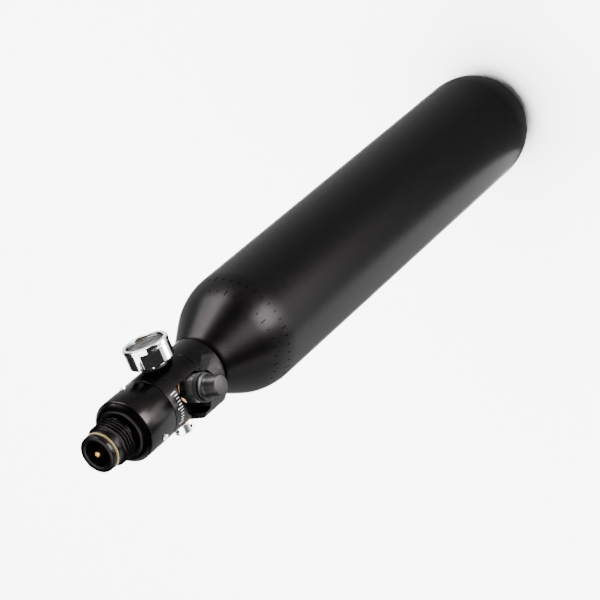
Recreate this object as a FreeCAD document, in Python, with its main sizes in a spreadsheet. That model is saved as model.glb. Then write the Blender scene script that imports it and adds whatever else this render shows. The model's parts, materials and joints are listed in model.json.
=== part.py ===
import FreeCAD, Part
import math
import os
import re
import Sketcher

# Compressed-air tank with a screw-in regulator, upright on its base.
# +Z runs from the base to the outlet, the gauge looks along -Y, the fill nipple along -X.
# All sizes are millimetres and live in the sheet "Dims".

V = FreeCAD.Vector
doc = FreeCAD.newDocument("air_tank")
sheet = doc.addObject("Spreadsheet::Sheet", "Dims")

DIMS = [
    # bottle
    ("tank_r", 30.0), ("base_flat_r", 16.0), ("base_round", 24.0), ("wall", 4.2),
    ("base_wall", 7.0), ("mouth_z", 296.7), ("mouth_r", 13.2), ("lip_r", 15.9),
    ("lip_z", 293.2), ("cone_r", 25.0), ("cone_z", 276.4), ("shoulder_z", 256.6),
    ("shoulder_arc", 42.0), ("neck_bore_r", 9.0), ("neck_bore_len", 26.0),
    ("neck_seat_r", 11.4), ("neck_seat_deep", 1.9), ("neck_ring_r", 10.1),
    ("neck_ring_wire", 0.98),
    # regulator body
    ("stem_r", 8.95), ("stem_low_z", 279.0), ("body_r", 15.4), ("body_low_z", 296.9),
    ("seam_z", 338.0), ("ring_seam_z", 311.5), ("spigot_r", 12.95), ("spigot_z", 349.0),
    ("cup_r", 11.0), ("cup_z", 337.0), ("channel_r", 2.2), ("channel_top_z", 324.0),
    ("orifice_r", 0.8), ("guide_z", 326.4), ("guide_r", 3.05), ("boss_r", 20.5),
    ("pocket_r", 12.0), ("pocket_small_r", 8.5), ("pocket_floor", 9.5),
    ("pocket_side", 6.6), ("guard_len", 74.0),
    ("filter_r", 3.6), ("filter_len", 5.0),
    # ports
    ("gauge_z", 322.7), ("fill_z", 319.4), ("burst_z", 321.0), ("port_r", 4.0),
    ("passage_r", 0.9), ("vent_z", 333.4), ("screw_r", 1.5),
    # bonnet and outlet
    ("nose_z", 378.0), ("nose_r", 9.1), ("thread_r", 10.48), ("thread_low_z", 362.5),
    ("thread_top_z", 371.0), ("relief_r", 9.2), ("relief_z", 361.0), ("crown_z", 358.0),
    ("crown_in_r", 11.6), ("crown_arc", 4.6), ("ring_groove_r", 7.5), ("ring_z", 374.5),
    ("ring_wire", 0.9), ("bonnet_ceiling_z", 349.2), ("valve_r", 5.0),
    ("valve_low_z", 353.5), ("valve_top_z", 367.9), ("throat_r", 3.6), ("recess_r", 6.0),
    ("pin_r", 1.45), ("pin_head_r", 2.6), ("pin_head_z", 359.1), ("pin_seat_z", 362.6),
    # piston
    ("piston_r", 10.9), ("piston_low_z", 344.6), ("piston_top_z", 349.1),
    ("piston_stem_r", 3.0), ("piston_tip_z", 329.0), ("seat_tip_z", 327.6),
    ("disc_r", 10.0), ("disc_hole_r", 4.2), ("disc_t", 0.8), ("shim_t", 0.5),
    # gauge, measured outwards from the tank axis
    ("gauge_seat", 14.6), ("gauge_case_low", 17.4), ("gauge_rim_low", 25.2),
    ("gauge_face", 27.4), ("gauge_case_r", 10.9), ("gauge_rim_r", 11.15),
    ("gauge_cup_r", 9.6), ("gauge_flat", 9.75), ("dial_r", 9.3), ("dial_out", 22.2),
    ("pointer_len", 7.0), ("bourdon_r", 6.6),
    # fill nipple, measured outwards from the tank axis
    ("hex_low", 10.3), ("hex_top", 18.6), ("hex_r", 6.7), ("nipple_r", 4.0),
    ("nipple_tip", 28.6), ("cap_r", 4.9), ("cap_low", 21.2), ("cap_end", 30.5),
    ("cap_flange_r", 6.5),
    # burst plug, measured outwards from the tank axis
    ("plug_seat", 14.8), ("plug_head_low", 15.6), ("plug_head_end", 20.4),
    ("plug_head_r", 4.75), ("plug_stem_r", 3.4),
]
NAMES = {name for name, _ in DIMS}
for row, (name, value) in enumerate(DIMS, start=1):
    sheet.set("A%d" % row, name)
    sheet.set("B%d" % row, "%g" % value)
    sheet.setAlias("B%d" % row, name)
doc.recompute()


def bind(text):
    """Point every dimension name in an expression at the sheet."""
    return re.sub(r"[a-z_]+", lambda m: "Dims." + m.group(0) if m.group(0) in NAMES else m.group(0),
                  str(text))


def val(text):
    """Number that an expression of dimension names comes to."""
    return float(sheet.evalExpression(bind(text)))


UP = V(0, 0, 1)
TO_GAUGE = V(0, -1, 0)
TO_NIPPLE = V(-1, 0, 0)
TO_PLUG = V(0, 1, 0)
parts = []


def place(obj, out=UP, base=("0", "0", "0"), twist=0.0):
    """Stand an object's local Z along a direction and bind its base point to the sheet."""
    turn = FreeCAD.Rotation(UP, out).multiply(FreeCAD.Rotation(UP, twist))
    obj.Placement = FreeCAD.Placement(V(*[val(b) for b in base]), turn)
    for axis, text in zip("xyz", base):
        if str(text) != "0":
            obj.setExpression("Placement.Base." + axis, bind(text))
    return obj


def keep(obj, name):
    """Name an object as one of the parts that are written out."""
    obj.Label = name
    parts.append(obj)
    return obj


def spin(name, points, final=True, out=UP, base=("0", "0", "0")):
    """Body turned about its own Z from (radius, height) points; a third entry bends the
    edge that ends there into an arc of that radius, bulging away from the axis if positive."""
    body = doc.addObject("PartDesign::Body", name + "_body")
    plane = [f for f in body.Origin.OriginFeatures if f.Role == "XZ_Plane"][0]
    sketch = body.newObject("Sketcher::SketchObject", name + "_profile")
    sketch.AttachmentSupport = [(plane, "")]
    sketch.MapMode = "FlatFace"
    spots = [V(val(p[0]), val(p[1]), 0) for p in points]
    count = len(spots)
    for i in range(count):
        a, b = spots[i], spots[(i + 1) % count]
        bend = points[(i + 1) % count][2] if len(points[(i + 1) % count]) > 2 else None
        if bend is None:
            sketch.addGeometry(Part.LineSegment(a, b), False)
        else:
            radius = abs(val(bend))
            side = 1.0 if val(bend) > 0 else -1.0
            chord = b - a
            half = chord.Length / 2.0
            across = V(chord.y, -chord.x, 0).normalize() * side
            if across.x < 0 and side > 0 or across.x > 0 and side < 0:
                across = across * -1
            sag = radius - math.sqrt(radius ** 2 - half ** 2)
            sketch.addGeometry(Part.Arc(a, (a + b) * 0.5 + across * sag, b), False)
    for i in range(count):
        nxt = (i + 1) % count
        ends = []
        for j, at in ((i, spots[nxt]), (nxt, spots[nxt])):
            first = sketch.getPoint(j, 1)
            ends.append(1 if (first - at).Length < 1e-7 else 2)
        sketch.addConstraint(Sketcher.Constraint("Coincident", i, ends[0], nxt, ends[1]))
    for i, spot in enumerate(spots):
        end = 1 if (sketch.getPoint(i, 1) - spot).Length < 1e-7 else 2
        for kind, number, text, axis in (("DistanceX", spot.x, points[i][0], -2),
                                         ("DistanceY", spot.y, points[i][1], -1)):
            if abs(number) < 1e-9:
                sketch.addConstraint(Sketcher.Constraint("PointOnObject", i, end, axis))
            else:
                c = sketch.addConstraint(Sketcher.Constraint(kind, -1, 1, i, end, number))
                sketch.setExpression("Constraints[%d]" % c, bind(text))
    turn = body.newObject("PartDesign::Revolution", name + "_turn")
    turn.Profile = sketch
    turn.ReferenceAxis = (sketch, ["V_Axis"])
    turn.Angle = 360.0
    body.Tip = turn
    place(body, out, base)
    return keep(body, name) if final else body


def rod(name, r, low, high, out=UP, base=("0", "0", "0"), final=False):
    """Plain cylinder between two heights along a direction."""
    obj = doc.addObject("Part::Cylinder", name)
    obj.setExpression("Radius", bind(r))
    obj.setExpression("Height", bind("(%s) - (%s)" % (high, low)))
    shift = ["(%s) + (%s) * %g" % (b, low, c) for b, c in zip(base, (out.x, out.y, out.z))]
    place(obj, out, [s if abs(c) > 0 else b for s, b, c in zip(shift, base, (out.x, out.y, out.z))])
    return keep(obj, name) if final else obj


def hexbar(name, r, low, high, out=UP, base=("0", "0", "0"), twist=0.0):
    """Six-sided bar, r to its corners."""
    obj = doc.addObject("Part::Prism", name)
    obj.Polygon = 6
    obj.setExpression("Circumradius", bind(r))
    obj.setExpression("Height", bind("(%s) - (%s)" % (high, low)))
    shift = ["(%s) + (%s) * %g" % (b, low, c) if abs(c) > 0 else b
             for b, c in zip(base, (out.x, out.y, out.z))]
    return place(obj, out, shift, twist)


def block(name, corner, size):
    """Upright box from its lowest corner."""
    obj = doc.addObject("Part::Box", name)
    for prop, text in zip(("Length", "Width", "Height"), size):
        obj.setExpression(prop, bind(text))
    return place(obj, UP, corner)


def ring(name, r, wire, z, out=UP, base=("0", "0", "0"), final=True):
    """O-ring lying across a direction."""
    obj = doc.addObject("Part::Torus", name)
    obj.setExpression("Radius1", bind(r))
    obj.setExpression("Radius2", bind(wire))
    shift = ["(%s) + (%s) * %g" % (b, z, c) if abs(c) > 0 else b
             for b, c in zip(base, (out.x, out.y, out.z))]
    place(obj, out, shift)
    return keep(obj, name) if final else obj


def cut(name, base, tools, final=True):
    """Base solid less every tool; the volume has to go down."""
    for i, tool in enumerate(tools):
        step = doc.addObject("Part::Cut", "%s_less_%d" % (name, i))
        step.Base = base
        step.Tool = tool
        doc.recompute()
        assert step.Shape.Volume < base.Shape.Volume - 1e-4, (name, i)
        base = step
    return keep(base, name) if final else base


def common(name, a, b):
    obj = doc.addObject("Part::Common", name)
    obj.Base = a
    obj.Tool = b
    return obj


def fuse(name, objs, final=True):
    obj = doc.addObject("Part::MultiFuse", name + "_whole")
    obj.Shapes = objs
    return keep(obj, name) if final else obj


def feature(name, shape, placement=None):
    obj = doc.addObject("Part::Feature", name)
    obj.Shape = shape
    if placement is not None:
        obj.Placement = placement
    return keep(obj, name)


def coil(name, r, wire, low, high, turns, placement=None):
    """Round-wire compression spring with a helical wire of the given turns."""
    rise = high - low - 2 * wire
    helix = Part.makeHelix(rise / turns, rise, r)
    helix.translate(V(0, 0, low + wire))
    start = V(r, 0, low + wire)
    loop = Part.Wire([Part.makeCircle(wire, start, V(0, 1, rise / turns / (2 * math.pi * r)))])
    solid = Part.Wire(helix.Edges).makePipeShell([loop], True, True)
    return feature(name, solid, placement)


# ---------------------------------------------------------------- bottle
R = val("tank_r")
flat_r = val("base_flat_r")
rise = val("base_round")
wall = val("wall")


def ellipse_corner(center_r, center_z, across, along):
    """Quarter ellipse from the lowest point out to the side."""
    pts = [V(center_r + across * math.sin(math.radians(a)), 0,
             center_z - along * math.cos(math.radians(a))) for a in range(0, 91, 10)]
    curve = Part.BSplineCurve()
    curve.interpolate(pts, InitialTangent=V(1, 0, 0), FinalTangent=V(0, 0, 1))
    return curve.toShape()


def line(a, b):
    return Part.LineSegment(V(a[0], 0, a[1]), V(b[0], 0, b[1])).toShape()


def bow(a, b, radius):
    """Arc from a to b bulging away from the axis."""
    pa, pb = V(a[0], 0, a[1]), V(b[0], 0, b[1])
    chord = pb - pa
    across = V(chord.z, 0, -chord.x).normalize()
    if across.x < 0:
        across = across * -1
    sag = radius - math.sqrt(radius ** 2 - (chord.Length / 2) ** 2)
    return Part.Arc(pa, (pa + pb) * 0.5 + across * sag, pb).toShape()


mouth = (val("mouth_r"), val("mouth_z"))
lip = (val("lip_r"), val("lip_z"))
cone = (val("cone_r"), val("cone_z"))
side = (R, val("shoulder_z"))
arc = val("shoulder_arc")
outer = [line((0, 0), (flat_r, 0)), ellipse_corner(flat_r, rise, R - flat_r, rise),
         line((R, rise), side), bow(cone, side, arc), line(cone, lip), bow(lip, mouth, 6.0),
         line(mouth, (0, mouth[1])), line((0, mouth[1]), (0, 0))]
outer_solid = Part.Face(Part.Wire(Part.__sortEdges__(outer))).revolve(V(0, 0, 0), UP, 360)
bore_r = val("neck_bore_r")
bore_z = mouth[1] - val("neck_bore_len")
in_side = (R - wall, val("shoulder_z"))
in_cone = (cone[0] - wall * 0.9, cone[1] - wall * 0.45)
floor_z = val("base_wall")
inner = [line((0, floor_z), (flat_r - 2, floor_z)),
         ellipse_corner(flat_r - 2, rise + 1, R - wall - flat_r + 2, rise + 1 - floor_z),
         line((R - wall, rise + 1), in_side), bow(in_cone, in_side, arc - wall),
         line(in_cone, (bore_r + 1.0, bore_z - 1.0)), line((bore_r + 1.0, bore_z - 1.0), (bore_r, bore_z)),
         line((bore_r, bore_z), (bore_r, mouth[1] + 1)), line((bore_r, mouth[1] + 1), (0, mouth[1] + 1)),
         line((0, mouth[1] + 1), (0, floor_z))]
inner_solid = Part.Face(Part.Wire(Part.__sortEdges__(inner))).revolve(V(0, 0, 0), UP, 360)
seat = Part.makeCylinder(val("neck_seat_r"), val("neck_seat_deep") + 1,
                         V(0, 0, mouth[1] - val("neck_seat_deep")))
feature("bottle", outer_solid.cut(inner_solid.fuse(seat)))

ring("neck_o_ring", "neck_ring_r", "neck_ring_wire", "mouth_z - 0.82")

# ---------------------------------------------------------------- regulator body
core = spin("regulator_core", [
    ("0", "stem_low_z"), ("stem_r - 1", "stem_low_z"), ("stem_r", "stem_low_z + 1"),
    ("stem_r", "body_low_z"), ("body_r - 0.6", "body_low_z"), ("body_r", "body_low_z + 0.6"),
    ("body_r", "ring_seam_z - 0.25"), ("body_r - 0.25", "ring_seam_z"),
    ("body_r", "ring_seam_z + 0.25"), ("body_r", "seam_z - 0.3"), ("body_r - 0.3", "seam_z"),
    ("spigot_r", "seam_z"), ("spigot_r", "spigot_z"), ("0", "spigot_z")], final=False)

# Guard around the fill nipple: a wider turned band, milled away except on the nipple side.
band = rod("guard_band", "boss_r", "nose_z - guard_len", "nose_z - 57")
guard_end = val("guard_len")
outline = [(57.0, 14.6), (guard_end, 14.6), (guard_end, -9.27), (65.1, -5.1), (58.0, 0.0),
           (57.0, 9.0)]
top = val("nose_z")
web_pts = [V(-26, y, top - s) for s, y in outline]
web = doc.addObject("Part::Feature", "guard_outline")
web.Shape = Part.Face(Part.makePolygon(web_pts + [web_pts[0]])).extrude(V(22, 0, 0))
guard = common("guard", band, web)
solid = fuse("regulator_solid", [core, guard], final=False)

pocket_wide = rod("pocket_wide", "pocket_r", "pocket_floor", "boss_r + 4", TO_NIPPLE,
                  ("0", "0", "fill_z"))
wide_keep = block("pocket_wide_keep", ("-boss_r - 5", "-pocket_side", "fill_z - 2"),
                  ("30", "24", "20"))
pocket_a = common("pocket_a", pocket_wide, wide_keep)
pocket_small = rod("pocket_small", "pocket_small_r", "pocket_floor", "boss_r + 4", TO_NIPPLE,
                   ("0", "0", "fill_z"))
small_keep = block("pocket_small_keep", ("-boss_r - 5", "-pocket_side", "fill_z - 12"),
                   ("30", "24", "24"))
pocket_b = common("pocket_b", pocket_small, small_keep)
mid = ("0", "0", "gauge_z")
low = ("0", "0", "fill_z")
aside = ("0", "0", "burst_z")
cut("regulator_body", solid, [
    pocket_a, pocket_b,
    rod("main_channel", "channel_r", "stem_low_z - 1", "channel_top_z"),
    rod("filter_bore", "filter_r + 0.05", "stem_low_z - 1", "stem_low_z + filter_len + 0.6"),
    rod("orifice", "orifice_r", "channel_top_z - 1", "guide_z + 1"),
    rod("stem_guide", "guide_r", "guide_z", "spigot_z + 1"),
    rod("spring_cup", "cup_r", "cup_z", "spigot_z + 1"),
    rod("gauge_spot", "8", "gauge_seat", "body_r + 2", TO_GAUGE, mid),
    rod("gauge_port", "port_r", "7.4", "body_r + 2", TO_GAUGE, mid),
    rod("gauge_passage", "passage_r", "0", "8", TO_GAUGE, mid),
    rod("fill_port", "port_r", "4.4", "pocket_floor + 2", TO_NIPPLE, low),
    rod("fill_passage", "passage_r", "0", "5", TO_NIPPLE, low),
    rod("burst_spot", "5.4", "plug_seat", "body_r + 2", TO_PLUG, aside),
    rod("burst_port", "plug_stem_r + 0.05", "7.6", "body_r + 2", TO_PLUG, aside),
    rod("burst_passage", "passage_r", "0", "8", TO_PLUG, aside),
    rod("bleed_port", "screw_r + 0.05", "11.5", "body_r + 2", TO_PLUG, ("0", "0", "vent_z")),
])
cut("inlet_filter",
    rod("filter_disc", "filter_r", "stem_low_z + 0.2", "stem_low_z + filter_len"),
    [rod("filter_dimple", "filter_r - 1", "stem_low_z - 1", "stem_low_z + 1.4")])
cut("bleed_screw", rod("bleed_screw_rod", "screw_r", "11.8", "body_r + 0.5", TO_PLUG,
                       ("0", "0", "vent_z")),
    [hexbar("bleed_socket", "0.85", "body_r - 1.2", "body_r + 1", TO_PLUG, ("0", "0", "vent_z"))])

# ---------------------------------------------------------------- bonnet
bonnet = spin("bonnet_solid", [
    ("0", "bonnet_ceiling_z - 11.15"), ("body_r - 0.3", "seam_z + 0.05"),
    ("body_r", "seam_z + 0.35"), ("body_r", "crown_z - 0.8"), ("body_r - 0.7", "crown_z - 0.1"),
    ("crown_in_r", "relief_z"), ("relief_r", "relief_z"), ("relief_r", "thread_low_z"),
    ("thread_r - 0.6", "thread_low_z"), ("thread_r", "thread_low_z + 0.6"),
    ("thread_r", "thread_top_z - 0.8"), ("thread_r - 0.9", "thread_top_z"),
    ("nose_r", "thread_top_z"), ("nose_r", "ring_z - 1.0"), ("ring_groove_r", "ring_z - 1.0"),
    ("ring_groove_r", "ring_z + 1.0"), ("nose_r", "ring_z + 1.0"), ("nose_r", "nose_z - 0.5"),
    ("nose_r - 0.5", "nose_z"), ("0", "nose_z")], final=False)
recess = doc.addObject("Part::Cone", "nose_recess")
recess.setExpression("Radius1", bind("throat_r"))
recess.setExpression("Radius2", bind("recess_r + 0.3"))
recess.Height = 4.1
place(recess, UP, ("0", "0", "nose_z - 3.8"))


def around(angle):
    return V(math.cos(math.radians(angle)), math.sin(math.radians(angle)), 0)


# The two small screws that lock the bonnet on its thread.
screw_at = [(around(142), "nose_z - 31"), (around(280), "nose_z - 33.5")]
groove = ring("bonnet_ring_groove", "12.1", "0.72", "spigot_z + 0.62", final=False)
cut("bonnet", bonnet, [
    rod("bonnet_thread", "spigot_r + 0.05", "seam_z - 1", "bonnet_ceiling_z"),
    rod("outlet_chamber", "8", "bonnet_ceiling_z - 1", "valve_low_z"),
    rod("valve_bore", "valve_r + 0.05", "valve_low_z - 1", "valve_top_z + 0.1"),
    rod("throat", "throat_r", "valve_top_z - 1", "nose_z + 1"),
    recess, groove,
] + [rod("lock_hole_%d" % i, "screw_r + 0.05", "spigot_r - 1", "body_r + 1", d, ("0", "0", z))
     for i, (d, z) in enumerate(screw_at)])
ring("bonnet_o_ring", "12.1", "0.6", "spigot_z + 0.62")
ring("outlet_o_ring", "ring_groove_r + ring_wire + 0.02", "ring_wire", "ring_z")
locks = []
for i, (d, z) in enumerate(screw_at):
    pin = rod("lock_rod_%d" % i, "screw_r", "spigot_r + 0.1", "body_r + 0.7", d, ("0", "0", z))
    socket = hexbar("lock_socket_%d" % i, "0.85", "body_r - 0.8", "body_r + 1", d, ("0", "0", z))
    locks.append(cut("lock_screw_%d" % i, pin, [socket], final=False))
group = doc.addObject("Part::Compound", "lock_pair")
group.Links = locks
keep(group, "bonnet_lock_screws")

# ---------------------------------------------------------------- outlet pin valve
cut("outlet_valve_housing", rod("housing_rod", "valve_r", "valve_low_z", "valve_top_z"), [
    rod("housing_chamber", "3.2", "valve_low_z - 1", "pin_seat_z"),
    rod("housing_guide", "pin_r + 0.05", "pin_seat_z - 1", "valve_top_z + 1"),
] + [rod("housing_jet_%d" % i, "0.4", "pin_seat_z - 1", "valve_top_z + 1",
         UP, ("%g" % (2.3 * math.cos(i * math.pi / 2)), "%g" % (2.3 * math.sin(i * math.pi / 2)), "0"))
     for i in range(4)])
spin("outlet_pin", [
    ("0", "pin_head_z"), ("pin_head_r", "pin_head_z"), ("pin_head_r", "pin_head_z + 2.2"),
    ("pin_r", "pin_head_z + 2.2"), ("pin_r", "nose_z - 0.6"), ("pin_r - 0.5", "nose_z - 0.1"),
    ("0", "nose_z - 0.1")])
cut("outlet_pin_seal", rod("pin_seal_disc", "2.75", "pin_head_z + 2.25", "pin_seat_z - 0.02"),
    [rod("pin_seal_hole", "pin_r + 0.02", "pin_head_z", "pin_seat_z + 1")])
cut("outlet_spring_retainer", rod("retainer_disc", "3.15", "valve_low_z + 0.05", "valve_low_z + 0.85"),
    [rod("retainer_hole", "1.2", "valve_low_z - 1", "valve_low_z + 2")])
coil("outlet_pin_spring", 2.2, 0.3, val("valve_low_z") + 0.9, val("pin_head_z") - 0.04, 4)

# ---------------------------------------------------------------- piston and its springs
piston = spin("piston_turned", [
    ("0", "piston_tip_z"), ("piston_stem_r - 0.3", "piston_tip_z"),
    ("piston_stem_r", "piston_tip_z + 0.3"), ("piston_stem_r", "333.8"), ("1.76", "333.8"),
    ("1.76", "335.2"), ("piston_stem_r", "335.2"), ("piston_stem_r", "piston_low_z"),
    ("piston_r", "piston_low_z"), ("piston_r", "piston_low_z + 1.2"), ("9.2", "piston_low_z + 1.2"),
    ("9.2", "piston_low_z + 3.1"), ("piston_r", "piston_low_z + 3.1"),
    ("piston_r", "piston_top_z - 0.3"), ("piston_r - 0.3", "piston_top_z"), ("0", "piston_top_z")],
    final=False)
cut("piston", piston, [
    rod("piston_bore", "0.7", "piston_tip_z + 3", "piston_top_z + 1"),
    rod("piston_cross", "0.5", "-4", "4", V(1, 0, 0), ("0", "0", "piston_tip_z + 3.4")),
    rod("piston_seat_bore", "2.05", "piston_tip_z - 1", "piston_tip_z + 2")])
rod("piston_seat", "2.0", "seat_tip_z", "piston_tip_z + 1.9", final=True)
ring("piston_head_o_ring", "10.08", "0.86", "piston_low_z + 2.15")
ring("piston_stem_o_ring", "2.4", "0.61", "334.5")

t = val("disc_t")
z0 = val("cup_z") + val("shim_t")
step = (val("piston_low_z") - z0) / 4.0
r_in, r_out = val("disc_hole_r"), val("disc_r")
discs = []
for i in range(4):
    z = z0 + i * step + 0.02
    lift = step - t - 0.04
    ends = (0.0, lift) if i % 2 else (lift, 0.0)
    pts = [V(r_in, 0, z + ends[0]), V(r_out, 0, z + ends[1]), V(r_out, 0, z + ends[1] + t),
           V(r_in, 0, z + ends[0] + t)]
    discs.append(Part.Face(Part.makePolygon(pts + [pts[0]])).revolve(V(0, 0, 0), UP, 360))
feature("disc_springs", Part.makeCompound(discs))
cut("spring_shim", rod("shim_disc", "disc_r + 0.6", "cup_z", "cup_z + shim_t - 0.02"),
    [rod("shim_hole", "disc_hole_r", "cup_z - 1", "cup_z + 1")])

# ---------------------------------------------------------------- pressure gauge
case = spin("gauge_case_solid", [
    ("0", "7.6"), ("port_r - 0.6", "7.6"), ("port_r - 0.05", "8.2"), ("port_r - 0.05", "15.65"),
    ("6.2", "15.65"), ("6.2", "gauge_case_low"), ("gauge_case_r - 0.5", "gauge_case_low"),
    ("gauge_case_r", "gauge_case_low + 0.5"), ("gauge_case_r", "gauge_rim_low - 0.05"),
    ("10.2", "gauge_rim_low - 0.05"), ("10.2", "gauge_rim_low + 0.8"),
    ("gauge_cup_r", "gauge_rim_low + 0.8"), ("gauge_cup_r", "gauge_case_low + 1.6"),
    ("0", "gauge_case_low + 1.6")], final=False, out=TO_GAUGE, base=mid)


def side_block(name, direction):
    """Slab that mills a wrench flat on the gauge case, facing the given direction."""
    obj = doc.addObject("Part::Box", name)
    obj.Length = 6.0
    obj.Width = 11.0
    obj.setExpression("Height", bind("gauge_rim_low - gauge_case_low + 0.5"))
    out = direction.normalize()
    along = TO_GAUGE
    across = along.cross(out)
    turn = FreeCAD.Rotation(out, across, along, "ZXY")
    corner = (V(0, 0, val("gauge_z")) + along * (val("gauge_case_low") - 1.2)
              + out * val("gauge_flat") - across * 5.5)
    obj.Placement = FreeCAD.Placement(corner, turn)
    return obj


cut("gauge_case", case, [
    side_block("flat_a", V(-1, 0, 1)), side_block("flat_b", V(1, 0, -1)),
    rod("gauge_feed", "0.6", "6", "gauge_case_low + 3", TO_GAUGE, mid)])
cut("gauge_seal_washer", rod("seal_disc", "6.2", "gauge_seat + 0.02", "15.6", TO_GAUGE, mid),
    [rod("seal_hole", "port_r + 0.05", "gauge_seat - 1", "17", TO_GAUGE, mid)])
spin("gauge_bezel", [
    ("10.25", "gauge_rim_low"), ("gauge_rim_r - 0.2", "gauge_rim_low"),
    ("gauge_rim_r", "gauge_rim_low + 0.2"), ("gauge_rim_r", "gauge_face - 0.4"),
    ("gauge_rim_r - 0.4", "gauge_face"), ("9.6", "gauge_face"), ("9.3", "gauge_face - 0.3"),
    ("9.3", "gauge_face - 0.6"), ("10.25", "gauge_face - 0.6")], out=TO_GAUGE, base=mid)
rod("gauge_lens", "10.15", "gauge_rim_low + 0.85", "gauge_face - 0.65", TO_GAUGE, mid, final=True)
cut("gauge_dial", rod("dial_disc", "dial_r", "dial_out", "dial_out + 0.3", TO_GAUGE, mid),
    [rod("dial_hole", "0.7", "dial_out - 1", "dial_out + 1", TO_GAUGE, mid)])
hub = rod("pointer_hub", "1.15", "dial_out + 0.8", "dial_out + 2.2", TO_GAUGE, mid)
shaft = rod("pointer_shaft", "0.5", "20.4", "dial_out + 1", TO_GAUGE, mid)
needle = doc.addObject("Part::Wedge", "pointer_needle")
needle.Xmin, needle.Xmax, needle.X2min, needle.X2max = -0.45, 0.45, -0.12, 0.12
needle.Ymin = -2.4
needle.setExpression("Ymax", bind("pointer_len"))
needle.Zmin, needle.Zmax, needle.Z2min, needle.Z2max = 0.0, 0.3, 0.0, 0.3
REST = 45.0
turn = FreeCAD.Rotation(TO_GAUGE, REST).multiply(FreeCAD.Rotation(UP, TO_GAUGE))
needle.Placement = FreeCAD.Placement(V(0, -val("dial_out") - 1.1, val("gauge_z")), turn)
fuse("gauge_pointer", [hub, shaft, needle])
cut("gauge_movement", rod("movement_plate", "5.2", "19.02", "dial_out - 0.02", TO_GAUGE, mid),
               [rod("movement_hole", "0.56", "18", "23", TO_GAUGE, mid)])
loop = Part.makeTorus(val("bourdon_r") + 0.9, 0.7, V(0, 0, 0), UP, -180, 180, 265)
feature("gauge_bourdon_tube", loop,
        FreeCAD.Placement(V(0, -20.2, val("gauge_z")), FreeCAD.Rotation(UP, TO_GAUGE)))

# ---------------------------------------------------------------- fill nipple
shank = rod("nipple_shank", "port_r - 0.05", "4.5", "hex_low + 1", TO_NIPPLE, low)
hexa = hexbar("nipple_hex", "hex_r", "hex_low", "hex_top", TO_NIPPLE, low)
tube = spin("nipple_tube", [
    ("0", "hex_top - 1"), ("nipple_r", "hex_top - 1"), ("nipple_r", "24.2"), ("3.3", "24.7"),
    ("3.3", "25.9"), ("nipple_r", "26.4"), ("nipple_r", "nipple_tip - 0.7"),
    ("nipple_r - 0.7", "nipple_tip"), ("0", "nipple_tip")], final=False, out=TO_NIPPLE, base=low)
cut("fill_nipple", fuse("nipple_solid", [shank, hexa, tube], final=False), [
    rod("nipple_bore", "1.1", "8", "nipple_tip + 1", TO_NIPPLE, low),
    rod("check_bore", "2.4", "4", "9.2", TO_NIPPLE, low)])
cut("fill_nipple_washer", rod("washer_disc", "6.2", "pocket_floor + 0.02", "hex_low - 0.02",
                              TO_NIPPLE, low),
    [rod("washer_hole", "port_r + 0.05", "9", "11", TO_NIPPLE, low)])
spin("check_poppet", [("0", "6.7"), ("2.35", "6.7"), ("2.35", "8.4"), ("1.2", "9.1"),
                      ("0", "9.1")], out=TO_NIPPLE, base=low)
low_placement = FreeCAD.Placement(V(0, 0, val("fill_z")), FreeCAD.Rotation(UP, TO_NIPPLE))
coil("check_spring", 1.5, 0.16, 4.45, 6.66, 3, low_placement)
cap = spin("cap_solid", [
    ("0", "cap_low"), ("cap_flange_r - 0.3", "cap_low"), ("cap_flange_r", "cap_low + 0.3"),
    ("cap_flange_r", "cap_low + 1.2"), ("cap_r + 0.2", "cap_low + 1.6"),
    ("cap_r", "cap_low + 2"), ("cap_r", "cap_end - 0.5"), ("cap_r - 0.5", "cap_end"),
    ("0", "cap_end")], final=False, out=TO_NIPPLE, base=low)
cut("dust_cap", cap, [rod("cap_bore", "nipple_r + 0.05", "cap_low - 1", "29", TO_NIPPLE, low)])
cut("cap_retaining_ring", rod("retaining_disc", "6.9", "hex_top + 0.1", "cap_low - 0.3",
                              TO_NIPPLE, low),
    [rod("retaining_hole", "nipple_r + 0.1", "hex_top - 1", "cap_low", TO_NIPPLE, low)])

# ---------------------------------------------------------------- burst plug
plug = spin("plug_solid", [
    ("0", "8.6"), ("plug_stem_r - 0.5", "8.6"), ("plug_stem_r", "9.1"),
    ("plug_stem_r", "plug_head_low"), ("plug_head_r - 0.2", "plug_head_low"),
    ("plug_head_r", "plug_head_low + 0.2"), ("plug_head_r", "plug_head_end - 0.5"),
    ("plug_head_r - 0.5", "plug_head_end"), ("0", "plug_head_end")], final=False, out=TO_PLUG,
    base=aside)
cut("burst_plug", plug, [
    rod("plug_bore", "1.3", "8", "18.6", TO_PLUG, aside),
    rod("plug_vent_x", "0.9", "-6", "6", V(1, 0, 0), ("0", "17.8", "burst_z")),
    rod("plug_vent_z", "0.9", "-6", "6", UP, ("0", "17.8", "burst_z"))])
cut("burst_plug_washer", rod("plug_washer_disc", "5.2", "plug_seat + 0.02", "plug_head_low - 0.02",
                             TO_PLUG, aside),
    [rod("plug_washer_hole", "plug_stem_r + 0.05", "14", "16", TO_PLUG, aside)])
rod("burst_disc", "plug_stem_r - 0.1", "8.3", "8.55", TO_PLUG, aside, final=True)
cut("burst_disc_gasket", rod("gasket_disc", "plug_stem_r - 0.1", "7.65", "8.25", TO_PLUG, aside),
    [rod("gasket_hole", "1.3", "7", "9", TO_PLUG, aside)])

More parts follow.
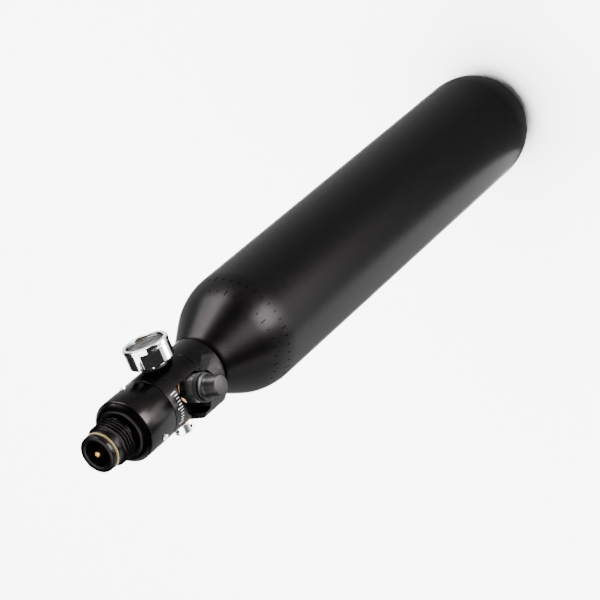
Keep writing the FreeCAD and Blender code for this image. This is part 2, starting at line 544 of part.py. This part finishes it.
# ---------------------------------------------------------------- check and write
doc.recompute()
for obj in doc.Objects:
    assert "Invalid" not in obj.State and "Error" not in obj.State, (obj.Name, obj.State)
os.makedirs("parts", exist_ok=True)
for old in os.listdir("parts"):
    os.remove(os.path.join("parts", old))
for obj in parts:
    shape = obj.Shape
    assert not shape.isNull() and shape.isValid() and shape.Solids, obj.Label
    assert all(s.Volume > 0 for s in shape.Solids), obj.Label
    shape.exportStep("parts/%s.step" % obj.Label)
    box = shape.BoundBox
    print("%-24s %d solid %9.1f mm3  x %7.2f %7.2f  y %7.2f %7.2f  z %7.2f %7.2f" % (
        obj.Label, len(shape.Solids), shape.Volume, box.XMin, box.XMax, box.YMin, box.YMax,
        box.ZMin, box.ZMax))
print(len(parts), "parts")
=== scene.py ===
import json
import math

import bmesh
import bpy
from mathutils import Matrix, Vector


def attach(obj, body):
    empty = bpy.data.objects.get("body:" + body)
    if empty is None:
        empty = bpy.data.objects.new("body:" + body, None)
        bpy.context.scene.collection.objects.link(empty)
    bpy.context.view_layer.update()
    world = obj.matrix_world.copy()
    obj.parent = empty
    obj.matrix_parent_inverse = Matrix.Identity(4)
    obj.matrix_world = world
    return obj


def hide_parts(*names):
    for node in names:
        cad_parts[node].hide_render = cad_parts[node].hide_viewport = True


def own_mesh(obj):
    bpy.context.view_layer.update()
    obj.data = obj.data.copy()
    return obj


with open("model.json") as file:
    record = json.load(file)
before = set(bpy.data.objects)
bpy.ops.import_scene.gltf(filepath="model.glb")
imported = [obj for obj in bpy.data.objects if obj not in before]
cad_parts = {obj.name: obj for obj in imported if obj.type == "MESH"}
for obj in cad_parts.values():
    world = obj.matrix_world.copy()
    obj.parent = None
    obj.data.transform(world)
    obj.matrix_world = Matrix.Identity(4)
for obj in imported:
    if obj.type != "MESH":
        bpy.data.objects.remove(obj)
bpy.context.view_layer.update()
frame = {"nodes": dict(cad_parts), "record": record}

MM = 0.001
TAU = 2.0 * math.pi
NODES = frame["nodes"]
NOSE_Z = 378.0
SEGMENTS = 192
TO_GAUGE = Vector((0, -1, 0))
TO_NIPPLE = Vector((-1, 0, 0))


# ------------------------------------------------------------------ materials
def material(name):
    mat = bpy.data.materials.new(name)
    mat.use_nodes = True
    tree = mat.node_tree
    return mat, tree, tree.nodes["Principled BSDF"]


def noise(tree, coords, scale, detail=3.0, stretch=(1, 1, 1)):
    mapping = tree.nodes.new("ShaderNodeMapping")
    mapping.inputs["Scale"].default_value = stretch
    tree.links.new(coords, mapping.inputs["Vector"])
    tex = tree.nodes.new("ShaderNodeTexNoise")
    tex.inputs["Scale"].default_value = scale
    tex.inputs["Detail"].default_value = detail
    tree.links.new(mapping.outputs["Vector"], tex.inputs["Vector"])
    return tex.outputs["Fac"]


def ramp(tree, fac, low, high, span=(0.3, 0.7)):
    """Map a 0-1 value to a colour or grey range."""
    node = tree.nodes.new("ShaderNodeMapRange")
    node.inputs["From Min"].default_value = span[0]
    node.inputs["From Max"].default_value = span[1]
    node.inputs["To Min"].default_value = low
    node.inputs["To Max"].default_value = high
    tree.links.new(fac, node.inputs["Value"])
    return node.outputs["Result"]


def mix_color(tree, fac, a, b):
    node = tree.nodes.new("ShaderNodeMix")
    node.data_type = "RGBA"
    for socket, value in ((node.inputs[6], a), (node.inputs[7], b)):
        if isinstance(value, tuple):
            socket.default_value = value
        else:
            tree.links.new(value, socket)
    tree.links.new(fac, node.inputs[0])
    return node.outputs[2]


def surface(name, color, rough, metal=0.0, specular=0.5, grain=0.0, grain_scale=3000.0,
            blotch=0.12, turned=None, turned_scale=900.0, edge=0.0, wear=None, tint=1.0):
    """Metal, paint, rubber or plastic with uneven colour and gloss, fine grain and, for turned
    parts, tool rings across the given axis. edge rounds sharp corners in the shading, wear is the
    colour of rubbed edges, and tint is the grey level of the specular tint."""
    mat, tree, bsdf = material(name)
    coords = tree.nodes.new("ShaderNodeTexCoord").outputs["Object"]
    cloud = noise(tree, coords, 90.0, 4.0)
    fine = noise(tree, coords, grain_scale, 2.0)
    dark = tuple(c * (1.0 - blotch) for c in color) + (1.0,)
    light = tuple(min(1.0, c * (1.0 + blotch)) for c in color) + (1.0,)
    shade = mix_color(tree, ramp(tree, cloud, 0.0, 1.0), dark, light)
    if wear is not None:
        rub = tree.nodes.new("ShaderNodeNewGeometry").outputs["Pointiness"]
        rubbed = tree.nodes.new("ShaderNodeMath")
        rubbed.operation = "MULTIPLY"
        tree.links.new(ramp(tree, rub, 0.0, 1.0, (0.53, 0.62)), rubbed.inputs[0])
        tree.links.new(ramp(tree, cloud, 0.2, 1.0, (0.4, 0.65)), rubbed.inputs[1])
        shade = mix_color(tree, rubbed.outputs[0], shade, wear + (1.0,))
    tree.links.new(shade, bsdf.inputs["Base Color"])
    gloss = noise(tree, coords, 260.0, 5.0)
    tree.links.new(ramp(tree, gloss, rough * 0.95, rough * 1.06), bsdf.inputs["Roughness"])
    bsdf.inputs["Metallic"].default_value = metal
    bsdf.inputs["Specular IOR Level"].default_value = specular
    bsdf.inputs["Specular Tint"].default_value = (tint, tint, tint, 1.0)
    height = fine
    if turned is not None:
        stretch = tuple(1.0 if c else 0.02 for c in turned)
        rings = noise(tree, coords, turned_scale, 2.0, stretch)
        both = tree.nodes.new("ShaderNodeMath")
        both.operation = "ADD"
        tree.links.new(rings, both.inputs[0])
        tree.links.new(fine, both.inputs[1])
        height = both.outputs[0]
    bump = tree.nodes.new("ShaderNodeBump")
    bump.inputs["Strength"].default_value = 0.35
    bump.inputs["Distance"].default_value = grain * MM
    tree.links.new(height, bump.inputs["Height"])
    if edge > 0.0:
        bevel = tree.nodes.new("ShaderNodeBevel")
        bevel.samples = 6
        bevel.inputs["Radius"].default_value = edge * MM
        tree.links.new(bevel.outputs["Normal"], bump.inputs["Normal"])
    tree.links.new(bump.outputs["Normal"], bsdf.inputs["Normal"])
    return mat


def glass(name):
    mat, tree, bsdf = material(name)
    coords = tree.nodes.new("ShaderNodeTexCoord").outputs["Object"]
    haze = noise(tree, coords, 500.0, 3.0)
    tree.links.new(ramp(tree, haze, 0.02, 0.06), bsdf.inputs["Roughness"])
    bsdf.inputs["Base Color"].default_value = (0.02, 0.02, 0.02, 1)
    bsdf.inputs["Alpha"].default_value = 0.06
    bsdf.inputs["IOR"].default_value = 1.49
    bsdf.inputs["Specular IOR Level"].default_value = 0.3
    return mat


anodised = surface("anodised_bottle", (0.0017, 0.0015, 0.0016), 0.34, metal=0.93, tint=0.03,
                   blotch=0.04, grain=0.012, grain_scale=5200.0, turned=(0, 0, 1), turned_scale=700.0)
machined = surface("anodised_machined", (0.0024, 0.0021, 0.0021), 0.24, metal=0.93, tint=0.03,
                   grain=0.012, grain_scale=6000.0, turned=(0, 0, 1), turned_scale=2600.0,
                   edge=0.22, wear=(0.006, 0.006, 0.006))
chrome = surface("bright_chrome", (0.22, 0.22, 0.225), 0.09, metal=1.0, tint=0.6, grain=0.006,
                 grain_scale=4000.0, blotch=0.03, edge=0.2)
nipple_steel = surface("plated_steel", (0.30, 0.30, 0.30), 0.22, metal=1.0, grain=0.008,
                       blotch=0.04, edge=0.15)
steel = surface("ground_steel", (0.40, 0.40, 0.41), 0.28, metal=1.0, grain=0.01, blotch=0.08,
                edge=0.12)
brass = surface("turned_brass", (0.55, 0.33, 0.10), 0.22, metal=1.0, grain=0.01, blotch=0.1,
                turned=(0, 0, 1), turned_scale=3500.0, edge=0.1)
gold = surface("pointer_brass", (0.62, 0.38, 0.10), 0.2, metal=1.0, grain=0.006, edge=0.08)
copper = surface("soft_copper", (0.72, 0.40, 0.25), 0.33, metal=1.0, grain=0.012, edge=0.08)
bronze = surface("sintered_bronze", (0.50, 0.36, 0.19), 0.6, metal=1.0, grain=0.12,
                 grain_scale=2500.0, blotch=0.3)
rubber = surface("black_rubber", (0.0025, 0.0025, 0.0027), 0.55, specular=0.04, grain=0.03,
                 grain_scale=2600.0, edge=0.15)
pale_rubber = surface("pale_rubber", (0.10, 0.072, 0.026), 0.5, specular=0.05, grain=0.02,
                      grain_scale=2600.0, blotch=0.06)
plastic = surface("white_plastic", (0.82, 0.81, 0.77), 0.42, grain=0.015, blotch=0.04)
cap_grey = surface("cap_plastic", (0.0060, 0.0056, 0.0058), 0.42, metal=0.9, tint=0.1, grain=0.02,
                   grain_scale=3600.0, edge=0.3)
dial_silver = surface("dial_silver", (0.055, 0.055, 0.055), 0.40, metal=0.3, grain=0.006,
                      blotch=0.05)
ink_white = surface("white_ink", (0.12, 0.12, 0.12), 0.5, grain=0.01, blotch=0.08)
ink_dark = surface("stamped_dark", (0.0003, 0.0003, 0.0003), 0.5, metal=1.0, tint=0.02, grain=0.01)
ink_black = surface("dial_ink", (0.004, 0.004, 0.004), 0.5, specular=0.05, grain=0.004)
lens = glass("clear_lens")

SLOTS = {
    "anodised_black": anodised, "anodised_black_body": machined, "chrome_steel": chrome,
    "steel": steel, "brass": brass, "aluminium": steel, "black_rubber": rubber,
    "pale_rubber": pale_rubber, "white_plastic": plastic, "cap_grey": cap_grey,
    "dial_print": dial_silver, "clear_lens": lens, "sintered_bronze": bronze, "copper": copper,
}
SPECIAL = {"gauge_pointer": gold, "fill_nipple": nipple_steel, "burst_plug": nipple_steel}
for part in frame["record"]["subparts"]:
    node = NODES[part["node"]]
    chosen = SPECIAL.get(part["node"], SLOTS[part["material_slot"]])
    for index in range(max(1, len(node.material_slots))):
        if len(node.material_slots) == 0:
            node.data.materials.append(chosen)
        else:
            node.material_slots[index].material = chosen


# ------------------------------------------------------------------ mesh helpers
def finish_mesh(name, verts, faces, mat, body, angle=32.0):
    mesh = bpy.data.meshes.new(name)
    mesh.from_pydata([tuple(c * MM for c in v) for v in verts], [], faces)
    bm = bmesh.new()
    bm.from_mesh(mesh)
    bmesh.ops.remove_doubles(bm, verts=bm.verts, dist=1e-7)
    bmesh.ops.recalc_face_normals(bm, faces=bm.faces)
    bm.to_mesh(mesh)
    bm.free()
    for poly in mesh.polygons:
        poly.use_smooth = True
    mesh.set_sharp_from_angle(angle=math.radians(angle))
    obj = bpy.data.objects.new(name, mesh)
    bpy.context.scene.collection.objects.link(obj)
    obj.data.materials.append(mat)
    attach(obj, body)
    return obj


def frame_axes(out):
    """Two directions across an outward direction."""
    upright = abs(out.z) >= 0.9
    side = Vector((1, 0, 0)) if upright else out.cross(Vector((0, 0, 1))).normalized()
    return side, out.cross(side).normalized()


def lathe(name, profile, mat, body, out=Vector((0, 0, 1)), base=(0, 0, 0), wobble=None,
          segments=SEGMENTS, angle=32.0):
    """Closed turned solid from a closed (radius, height) loop; wobble(r, h, a) may shift a radius."""
    side, up = frame_axes(out)
    origin = Vector(base)
    verts, faces = [], []
    rows = len(profile)
    for r, h in profile:
        for k in range(segments):
            a = TAU * k / segments
            rr = wobble(r, h, a) if wobble else r
            verts.append(origin + out * h + (side * math.cos(a) + up * math.sin(a)) * rr)
    for i in range(rows):
        j = (i + 1) % rows
        if profile[i][0] < 1e-6 and profile[j][0] < 1e-6:
            continue
        for k in range(segments):
            m = (k + 1) % segments
            if profile[i][0] < 1e-6:
                faces.append((i * segments, j * segments + m, j * segments + k))
            elif profile[j][0] < 1e-6:
                faces.append((i * segments + k, i * segments + m, j * segments))
            else:
                faces.append((i * segments + k, i * segments + m, j * segments + m,
                              j * segments + k))
    used = sorted({v for f in faces for v in f})
    order = {v: i for i, v in enumerate(used)}
    return finish_mesh(name, [verts[v] for v in used],
                       [tuple(order[v] for v in f) for f in faces], mat, body, angle)


def arc_points(a, b, radius, count=24):
    """Points of an arc from a to b in (radius, height), bulging away from the axis."""
    ax, az, bx, bz = a[0], a[1], b[0], b[1]
    cx, cz = bx - ax, bz - az
    half = math.hypot(cx, cz) / 2
    nx, nz = cz / (2 * half), -cx / (2 * half)
    if nx < 0:
        nx, nz = -nx, -nz
    depth = math.sqrt(radius ** 2 - half ** 2)
    ox, oz = (ax + bx) / 2 - nx * depth, (az + bz) / 2 - nz * depth
    start = math.atan2(az - oz, ax - ox)
    end = math.atan2(bz - oz, bx - ox)
    return [(ox + radius * math.cos(start + (end - start) * t / count),
             oz + radius * math.sin(start + (end - start) * t / count))
            for t in range(count + 1)]


# ------------------------------------------------------------------ bottle
BASE_FLAT, BASE_ROUND, TANK_R = 16.0, 24.0, 30.0
SHOULDER_Z, SHOULDER_ARC = 256.6, 42.0
CONE_LOW, CONE_TOP = (25.0, 276.4), (15.9, 293.2)    # radius and height of the cone's two ends
MOUTH_Z = 296.7
base_curve = [(BASE_FLAT + (TANK_R - BASE_FLAT) * math.sin(math.radians(a)),
               BASE_ROUND - BASE_ROUND * math.cos(math.radians(a))) for a in range(0, 91, 3)]
shoulder = list(reversed(arc_points(CONE_LOW, (TANK_R, SHOULDER_Z), SHOULDER_ARC, 28)))
neck = list(reversed(arc_points((13.2, MOUTH_Z), CONE_TOP, 6.0, 8)))
side_rows = [(TANK_R, BASE_ROUND + (SHOULDER_Z - BASE_ROUND) * k / 40) for k in range(1, 40)]
cone_rows = [tuple(low + (top - low) * k / 6 for low, top in zip(CONE_LOW, CONE_TOP))
             for k in range(1, 6)]


def soften(rows, rounds=3):
    """Ease the corners of an open profile a little, ends kept."""
    for _ in range(rounds):
        rows = [rows[0]] + [tuple(0.25 * rows[i - 1][c] + 0.5 * rows[i][c] + 0.25 * rows[i + 1][c]
                                  for c in (0, 1)) for i in range(1, len(rows) - 1)] + [rows[-1]]
    return rows


wall_line = base_curve + side_rows + soften(shoulder + cone_rows + neck)
bottle_loop = [(0.0, 0.0), (8.0, 0.0)] + wall_line + [
    (11.4, MOUTH_Z), (11.4, 294.8), (9.0, 294.8), (9.0, 270.7), (0.0, 270.7)]
bottle = lathe("bottle_turned", bottle_loop, anodised, "tank", segments=256)
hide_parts("bottle")


def wall_radius(z):
    """Outside radius of the bottle at a height, and its slope."""
    for (r0, z0), (r1, z1) in zip(wall_line, wall_line[1:]):
        if z0 <= z <= z1 and z1 > z0:
            return r0 + (r1 - r0) * (z - z0) / (z1 - z0), (r1 - r0) / (z1 - z0)
    return TANK_R, 0.0


BAR_SUNK = 0.12


def stroke(verts, faces, spot, run, across, lift, length, width, height):
    """Add one thin bar that lies on a surface and is sunk a little into it."""
    start = len(verts)
    for h in (-BAR_SUNK, height):
        for s in (-0.5, 0.5):
            for w in (-0.5, 0.5):
                verts.append(spot + run * s * length + across * w * width + lift * h)
    for f in ((0, 1, 3, 2), (4, 6, 7, 5), (0, 4, 5, 1), (2, 3, 7, 6), (0, 2, 6, 4), (1, 5, 7, 3)):
        faces.append(tuple(start + i for i in f))


MARK_WIDE, MARK_PROUD = 0.42, 0.03


def stamped_ring(name, z, count, first, last, size, mat):
    """Ring of plain scale bars, every fifth one long, in place of lettering."""
    verts, faces = [], []
    for k in range(count):
        a = math.radians(first + (last - first) * k / (count - 1))
        r, slope = wall_radius(z)
        radial = Vector((math.cos(a), math.sin(a), 0))
        around = Vector((-math.sin(a), math.cos(a), 0))
        up = (radial * slope + Vector((0, 0, 1))).normalized()
        lift = around.cross(up).normalized()
        spot = radial * r + Vector((0, 0, z))
        tall = size if k % 5 == 0 else size * 0.5
        stroke(verts, faces, spot, up, around, lift, tall, MARK_WIDE, MARK_PROUD)
    return finish_mesh(name, verts, faces, mat, "tank", 20.0)


stamped_ring("stamped_marks_low", 263.5, 22, 95.0, 275.0, 3.0, ink_dark)
stamped_ring("stamped_marks_high", 271.5, 18, 100.0, 265.0, 3.0, ink_dark)

# ------------------------------------------------------------------ bonnet with a cut thread
PITCH = 25.4 / 14.0
THREAD_LOW, THREAD_TOP = 362.5, 371.0
THREAD_R, THREAD_DEPTH, RUNOUT = 10.48, 1.12, 0.7


def thread_wave(r, h, a):
    """Radius on the threaded stretch: rounded vee running right-handed round the axis."""
    if not (THREAD_LOW <= h <= THREAD_TOP and r > 10.0):
        return r
    phase = ((h - THREAD_LOW) / PITCH - a / TAU) % 1.0
    depth = abs(phase - 0.5) * 2.0
    cut = max(0.0, min(1.0, (depth - 0.1) / 0.72))
    fade = min(1.0, (h - THREAD_LOW) / RUNOUT, (THREAD_TOP - h) / RUNOUT)
    return r - THREAD_DEPTH * cut - (1.0 - fade) * 0.9 * (1.0 - cut)


thread_rows = [(THREAD_R, THREAD_LOW + (THREAD_TOP - THREAD_LOW) * k / 76) for k in range(77)]
crown = [(15.38, 350.0), (15.4, 357.0), (15.25, 357.45), (14.9, 357.8)] + \
    [(14.9 + (11.6 - 14.9) * t / 8, 357.8 + (361.0 - 357.8) * math.sin(t / 8 * math.pi / 2) ** 0.9)
     for t in range(1, 9)]
bonnet_loop = [(13.0, 338.05), (15.1, 338.05), (15.32, 338.12), (15.4, 338.35)] + crown + [
    (9.4, 361.0), (9.2, 361.2), (9.2, 362.4)] + thread_rows + [
    (9.1, 371.1), (9.1, 373.35), (8.95, 373.5), (7.5, 373.5), (7.5, 375.5), (8.95, 375.5),
    (9.1, 375.65), (9.1, 377.35), (9.0, 377.75), (8.7, 378.0), (6.35, 378.0), (6.1, 377.85),
    (3.75, 374.35), (3.6, 374.0), (3.6, 368.0), (5.05, 368.0), (5.05, 353.5), (8.0, 353.5),
    (8.0, 349.2), (13.0, 349.2)]
bonnet = lathe("bonnet_threaded", bonnet_loop, machined, "tank",
               wobble=thread_wave, segments=256, angle=40.0)
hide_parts("bonnet")

# The outlet ring and the neck ring get smooth, fine-meshed forms.
RINGS = (("outlet_o_ring", 8.42, 0.90, 374.5, pale_rubber, "pale_rubber"),
         ("neck_o_ring", 10.1, 0.98, 295.88, rubber, "black_rubber"))
for node, major, minor, height, mat, slot in RINGS:
    loop = [(major + minor * math.cos(TAU * k / 24), height + minor * math.sin(TAU * k / 24))
            for k in range(24)]
    made = lathe(node + "_smooth", loop, mat, "tank", segments=128)
    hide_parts(node)

# ------------------------------------------------------------------ dust cap
cap_loop = [(0.0, 29.0), (4.05, 29.0), (4.05, 21.5), (4.3, 21.2), (6.1, 21.2), (6.4, 21.35),
            (6.5, 21.65), (6.5, 22.1), (6.35, 22.4), (5.5, 22.7), (5.15, 23.1), (5.0, 23.8),
            (4.9, 24.6), (4.9, 29.7), (4.82, 30.1), (4.6, 30.38), (4.25, 30.5), (0.0, 30.5)]
cap = lathe("dust_cap_moulded", cap_loop, cap_grey, "dust_cap", out=TO_NIPPLE,
            base=(0, 0, 319.4), segments=128)
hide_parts("dust_cap")

# ------------------------------------------------------------------ gauge face
GAUGE = Vector((0, 0, 322.7))
# The gauge is screwed in with its dial's top towards +X, so its zero lies where the pointer rests.
DIAL_TURN = 90.0


def dial_bar(verts, faces, angle, low, high, width, out=22.5, height=0.06):
    """One printed bar on the dial between two radii; the angle turns clockwise from the top."""
    a = math.radians(angle - DIAL_TURN)
    run = Vector((-math.sin(a), 0, math.cos(a)))
    across = Vector((math.cos(a), 0, math.sin(a)))
    spot = GAUGE + TO_GAUGE * out + run * (low + high) / 2
    stroke(verts, faces, spot, run, across, TO_GAUGE, high - low, width, height)


verts, faces = [], []
for k in range(31):
    major = k % 5 == 0
    dial_bar(verts, faces, -135.0 + 270.0 * k / 30, 6.7 if major else 7.5, 8.7,
             0.34 if major else 0.17)
finish_mesh("dial_ticks", verts, faces, ink_black, "tank", 20.0)
for k, number in enumerate(("0", "50", "100", "150", "200", "250", "300")):
    a = math.radians(135.0 - DIAL_TURN - 45.0 * k)
    curve = bpy.data.curves.new("dial_number_%d" % k, "FONT")
    curve.body = number
    curve.size = 1.9 * MM
    curve.extrude = 0.02 * MM
    curve.align_x, curve.align_y = "CENTER", "CENTER"
    text = bpy.data.objects.new("dial_number_%d" % k, curve)
    bpy.context.scene.collection.objects.link(text)
    text.data.materials.append(ink_black)
    text.matrix_world = Matrix.Translation(
        (GAUGE + TO_GAUGE * 22.56 + Vector((-math.sin(a), 0, math.cos(a))) * 5.3) * MM
    ) @ Matrix.Rotation(math.radians(90), 4, "X") @ Matrix.Rotation(-math.radians(DIAL_TURN), 4, "Z")
    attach(text, "tank")

# ------------------------------------------------------------------ printed and stamped marks
verts, faces = [], []
for k in range(11):
    a = math.radians(180.0 + 20.0 - 58.0 * k / 10)
    radial = Vector((math.cos(a), math.sin(a), 0))
    around = Vector((-math.sin(a), math.cos(a), 0))
    tall = 3.6 if k % 5 == 0 else 2.0
    spot = radial * 15.4 + Vector((0, 0, NOSE_Z - 44.4 - (3.6 - tall) / 2))
    stroke(verts, faces, spot, Vector((0, 0, 1)), around, radial, tall, MARK_WIDE, MARK_PROUD)
finish_mesh("pressure_scale_marks", verts, faces, ink_white, "tank", 20.0)

# Dots on the slanted wall of the guard.
DOT_R = 0.28
verts, faces = [], []
wall_run = Vector((0, -4.5, -9.6)).normalized()
wall_out = Vector((0, -9.6, 4.5)).normalized()
for along in (3.9, 6.9):
    for deep in (15.6, 17.4, 19.2):
        centre = Vector((-deep, -5.1, NOSE_Z - 65.1)) + wall_run * along
        ring = [centre + (Vector((1, 0, 0)) * math.cos(TAU * k / 12)
                          + wall_run * math.sin(TAU * k / 12)) * DOT_R for k in range(12)]
        start = len(verts)
        verts += [p - wall_out * 0.1 for p in ring] + [p + wall_out * 0.03 for p in ring]
        faces += [(start + k, start + (k + 1) % 12, start + 12 + (k + 1) % 12, start + 12 + k)
                  for k in range(12)]
        faces += [tuple(start + 12 + k for k in range(12)),
                  tuple(start + k for k in reversed(range(12)))]
finish_mesh("guard_dots", verts, faces, ink_dark, "tank", 20.0)

# ------------------------------------------------------------------ springs, each copied into a mesh of its own (not shortened here)
for node, joint, axis, low_end_fixed, travel, slot in (
        ("outlet_pin_spring", "outlet_pin_slide", 2, True, 2.0, "steel"),
        ("disc_springs", "piston_slide", 2, True, 1.1, "steel"),
        ("check_spring", "poppet_slide", 0, False, 1.0, "steel")):
    spring = bpy.data.objects.new(node + "_live", NODES[node].data.copy())
    bpy.context.scene.collection.objects.link(spring)
    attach(spring, "tank")
    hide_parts(node)
    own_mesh(spring)

# ------------------------------------------------------------------ floor
floor_mesh = bpy.data.meshes.new("studio_floor")
reach = 4.0
floor_mesh.from_pydata([(-reach, -reach, 0), (reach, -reach, 0), (reach, reach, 0),
                        (-reach, reach, 0)], [], [(0, 1, 2, 3)])
floor = bpy.data.objects.new("studio_floor", floor_mesh)
bpy.context.scene.collection.objects.link(floor)
floor.data.materials.append(surface("floor_paper", (0.93, 0.93, 0.93), 0.85, specular=0.1,
                                    grain=0.05, grain_scale=400.0, blotch=0.004))

# ------------------------------------------------------------------ camera and light
camera_data = bpy.data.cameras.new("camera")
camera = bpy.data.objects.new("camera", camera_data)
bpy.context.scene.collection.objects.link(camera)
camera_data.lens = 144.13
camera_data.sensor_width = 36.0
camera_data.clip_start = 0.05
axes = ((-0.77633, 0.36238, -0.51575), (-0.11158, -0.88431, -0.45338),
        (-0.62037, -0.29442, 0.72695))
turn = Matrix(axes).transposed().to_4x4()
camera.matrix_world = Matrix.Translation((-0.7323, -0.3390, 1.0690)) @ turn
bpy.context.scene.camera = camera


def softbox(name, place, target, width, height, power):
    data = bpy.data.lights.new(name, "AREA")
    data.shape = "RECTANGLE"
    data.size, data.size_y = width, height
    data.energy = power
    light = bpy.data.objects.new(name, data)
    bpy.context.scene.collection.objects.link(light)
    light.location = place
    light.rotation_euler = (Vector(target) - Vector(place)).to_track_quat("-Z", "Y").to_euler()
    light.visible_camera = False
    return light


def polar(azimuth, radius, z):
    a = math.radians(azimuth)
    return (radius * math.cos(a), radius * math.sin(a), z)


softbox("overhead", (0.2, 0.1, 2.2), (0, 0, 0), 2.6, 2.6, 620.0)
for name, azimuth, radius, height, width, tall, power in (
        ("front_box", 195, 0.62, 0.17, 0.36, 0.34, 80.0),
        ("left_box", 287, 0.75, 0.29, 0.55, 0.24, 85.0),
        ("mid_panel", 176, 0.38, 0.012, 0.28, 0.30, 16.0)):
    flat = height < 0.05
    box = softbox(name, polar(azimuth, radius, height),
                  polar(azimuth, radius, 1.0) if flat else (0, 0, 0.27), width, tall, power)
    box.visible_diffuse = False


def light_card(first, last, strength, growth):
    """Curved card beside the bottle that only reflections see, brighter with its azimuth."""
    profile = ((0.035, 0.012), (0.30, 0.012), (0.50, 0.03), (0.60, 0.12), (0.64, 0.36))
    verts = [polar(first + (last - first) * k / 12, r, h) for k in range(13) for r, h in profile]
    rows = len(profile)
    faces = [(k * rows + j, k * rows + j + 1, (k + 1) * rows + j + 1, (k + 1) * rows + j)
             for k in range(12) for j in range(rows - 1)]
    mesh = bpy.data.meshes.new("light_card")
    mesh.from_pydata(verts, [], faces)
    card = bpy.data.objects.new("light_card", mesh)
    bpy.context.scene.collection.objects.link(card)
    mat = bpy.data.materials.new("light_card")
    mat.use_nodes = True
    tree = mat.node_tree
    tree.nodes.clear()
    coords = tree.nodes.new("ShaderNodeTexCoord").outputs["Object"]
    turn_round = tree.nodes.new("ShaderNodeTexGradient")
    turn_round.gradient_type = "RADIAL"
    tree.links.new(coords, turn_round.inputs["Vector"])
    scaled = tree.nodes.new("ShaderNodeMath")
    scaled.operation = "MULTIPLY_ADD"
    scaled.inputs[1].default_value = growth
    scaled.inputs[2].default_value = math.log(strength) - growth * (0.5 + first / 360.0)
    tree.links.new(turn_round.outputs["Fac"], scaled.inputs[0])
    level = tree.nodes.new("ShaderNodeMath")
    level.operation = "EXPONENT"
    tree.links.new(scaled.outputs[0], level.inputs[0])
    glow = tree.nodes.new("ShaderNodeEmission")
    tree.links.new(level.outputs[0], glow.inputs["Strength"])
    out = tree.nodes.new("ShaderNodeOutputMaterial")
    tree.links.new(glow.outputs[0], out.inputs["Surface"])
    card.data.materials.append(mat)
    card.visible_camera = False
    card.visible_diffuse = False
    card.visible_shadow = False
    card.visible_transmission = False


light_card(40.0, 137.0, 3.9, 8.4)

world = bpy.data.worlds.new("studio")
bpy.context.scene.world = world
world.use_nodes = True
background = world.node_tree.nodes["Background"]
background.inputs["Color"].default_value = (1.0, 1.0, 1.0, 1)
background.inputs["Strength"].default_value = 0.1
# The backdrop is bright where it is seen directly, and dim in reflections.
seen = world.node_tree.nodes.new("ShaderNodeBackground")
seen.inputs["Color"].default_value = (1.0, 1.0, 1.0, 1)
seen.inputs["Strength"].default_value = 7.0
rays = world.node_tree.nodes.new("ShaderNodeLightPath")
choose = world.node_tree.nodes.new("ShaderNodeMixShader")
links = world.node_tree.links
links.new(rays.outputs["Is Camera Ray"], choose.inputs[0])
links.new(background.outputs[0], choose.inputs[1])
links.new(seen.outputs[0], choose.inputs[2])
links.new(choose.outputs[0], world.node_tree.nodes["World Output"].inputs["Surface"])
